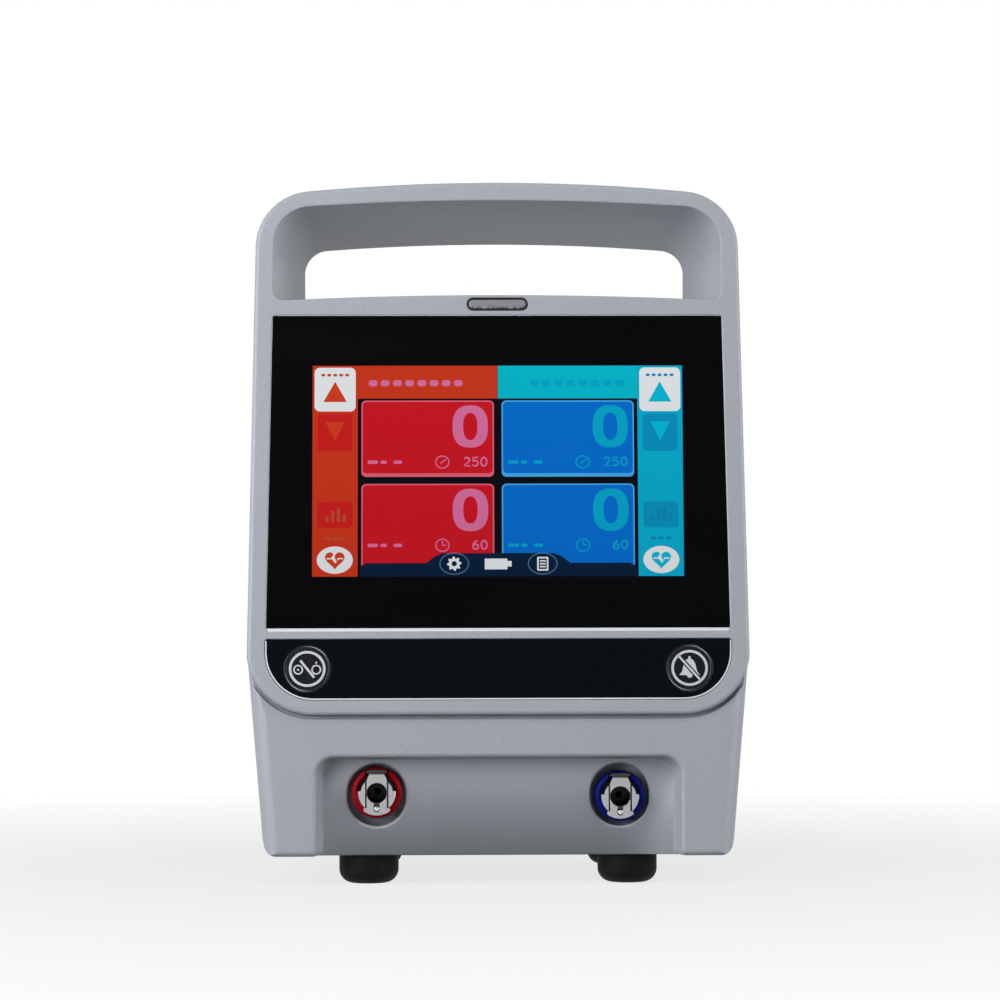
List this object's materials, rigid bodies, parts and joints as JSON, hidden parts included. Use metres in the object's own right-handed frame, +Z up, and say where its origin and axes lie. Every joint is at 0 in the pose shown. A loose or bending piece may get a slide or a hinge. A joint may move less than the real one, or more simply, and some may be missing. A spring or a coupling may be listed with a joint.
{
  "type": "surgical tourniquet controller",
  "caption": "Two-channel air tourniquet controller with carry handle, leaning touch screen, two keys, red and blue latching air couplers and a pole clamp.",
  "frame": {"origin": "on the table, under the middle of the whole object", "axes": "+Z up, the screen faces -Y, +X to the right of someone who faces the screen"},
  "size_m": [0.209, 0.1919, 0.2948],
  "materials": {
    "silver_paint": "fine textured silver-grey paint",
    "screen_glass": "polished black glass",
    "foam_gasket": "closed-cell foam",
    "display_module": "display module",
    "steel": "zinc plated sheet",
    "screw_steel": "bright turned steel",
    "light_lens": "mottled grey diffuser",
    "black_seal": "soft black seal",
    "circuit_board": "solder mask",
    "keypad_film": "fine grained black film",
    "chrome": "bright plating",
    "red_ring": "red anodised",
    "blue_ring": "blue anodised",
    "tubing": "silicone",
    "manifold_plastic": "moulded plastic",
    "motor_can": "plated can",
    "battery_wrap": "shrink wrap",
    "black_plastic": "moulded black plastic",
    "fuse_glass": "glass body",
    "cast_aluminium": "blasted casting",
    "pad_nylon": "moulded nylon",
    "foot_rubber": "soft black rubber"
  },
  "bodies": {
    "housing": {"front_bezel": "silver_paint", "main_case": "silver_paint", "carry_handle": "silver_paint", "rear_cover": "silver_paint", "battery_door": "silver_paint", "screen_glass": "screen_glass", "glass_gasket": "foam_gasket", "display_panel": "display_module", "display_bracket": "steel", "chassis_plate": "steel", "battery_tray": "steel", "power_supply": "steel", "short_screws": "screw_steel", "long_screws": "screw_steel", "case_screws": "screw_steel", "clamp_bracket_screws": "screw_steel", "foot_screws": "screw_steel", "board_standoffs": "screw_steel", "earth_stud": "screw_steel", "stud_nut": "screw_steel", "inlet_pins": "screw_steel", "red_latch_spring": "screw_steel", "blue_latch_spring": "screw_steel", "alarm_light_lens": "light_lens", "alarm_light_seal": "black_seal", "alarm_light_board": "circuit_board", "keypad_board": "circuit_board", "main_board": "circuit_board", "keypad_overlay": "keypad_film", "red_coupler_body": "chrome", "blue_coupler_body": "chrome", "coupler_nuts": "chrome", "red_coupler_ring": "red_ring", "blue_coupler_ring": "blue_ring", "red_air_tube": "tubing", "blue_air_tube": "tubing", "pump_tubes": "tubing", "valve_manifold": "manifold_plastic", "pump_heads": "manifold_plastic", "pressure_sensors": "manifold_plastic", "pump_motors": "motor_can", "solenoid_valves": "motor_can", "battery_pack": "battery_wrap", "speaker": "black_plastic", "mains_inlet": "black_plastic", "clamp_bracket": "cast_aluminium", "rubber_feet": "foot_rubber"},
    "standby_key": {"standby_button": "keypad_film"},
    "alarm_silence_key": {"alarm_silence_button": "keypad_film"},
    "red_latch": {"red_latch_plate": "chrome"},
    "red_pin": {"red_lock_pin": "chrome"},
    "blue_latch": {"blue_latch_plate": "chrome"},
    "blue_pin": {"blue_lock_pin": "chrome"},
    "fuse_tray": {"fuse_drawer": "black_plastic", "fuses": "fuse_glass"},
    "pressure_pad": {"clamp_pad": "pad_nylon"},
    "screw_and_knob": {"clamp_screw": "screw_steel", "clamp_knob": "black_plastic"},
    "red_crank": {"red_pump_crank": "screw_steel"},
    "blue_crank": {"blue_pump_crank": "screw_steel"}
  },
  "joints": [
    {"name": "standby_press", "type": "slide", "parent": "housing", "child": "standby_key", "axis": [0, 0.9976, -0.0698], "range_m": [0, 0.0008], "stiffness_N_per_m": 120, "springref_m": -0.001},
    {"name": "alarm_silence_press", "type": "slide", "parent": "housing", "child": "alarm_silence_key", "axis": [0, 0.9976, -0.0698], "range_m": [0, 0.0008], "stiffness_N_per_m": 120, "springref_m": -0.001},
    {"name": "fuse_drawer_pull", "type": "slide", "parent": "housing", "child": "fuse_tray", "axis": [0, 1, 0], "range_m": [0, 0.022]},
    {"name": "pressure_pad_travel", "type": "slide", "parent": "housing", "child": "pressure_pad", "axis": [-1, 0, 0], "range_m": [0, 0.0115]},
    {"name": "clamp_screw_turn", "type": "hinge", "parent": "pressure_pad", "child": "screw_and_knob", "pos_m": [0.045, 0.076, 0.112], "axis": [-1, 0, 0], "range_deg": [0, 2069.99]},
    {"name": "red_latch_press", "type": "slide", "parent": "housing", "child": "red_latch", "axis": [0, 0, -1], "range_m": [0, 0.0015], "stiffness_N_per_m": 120, "springref_m": -0.001, "deforming": ["red_latch_spring"]},
    {"name": "red_pin_push", "type": "slide", "parent": "housing", "child": "red_pin", "axis": [0, 1, 0], "range_m": [0, 0.00125], "stiffness_N_per_m": 30, "springref_m": -0.001},
    {"name": "red_pump_spin", "type": "hinge", "parent": "housing", "child": "red_crank", "pos_m": [0.006, -0.03, 0.17], "axis": [0, 0, 1], "continuous": true},
    {"name": "blue_latch_press", "type": "slide", "parent": "housing", "child": "blue_latch", "axis": [0, 0, -1], "range_m": [0, 0.0015], "stiffness_N_per_m": 120, "springref_m": -0.001, "deforming": ["blue_latch_spring"]},
    {"name": "blue_pin_push", "type": "slide", "parent": "housing", "child": "blue_pin", "axis": [0, 1, 0], "range_m": [0, 0.00125], "stiffness_N_per_m": 30, "springref_m": -0.001},
    {"name": "blue_pump_spin", "type": "hinge", "parent": "housing", "child": "blue_crank", "pos_m": [0.048, -0.03, 0.17], "axis": [0, 0, 1], "continuous": true}
  ],
  "couplings": [
    {"joint": "pressure_pad_travel", "follows": "clamp_screw_turn", "m_per_rad": 0.00031831},
    {"joint": "red_pin_push", "follows": "red_latch_press", "ratio": 0.8333},
    {"joint": "blue_pin_push", "follows": "blue_latch_press", "ratio": 0.8333}
  ]
}
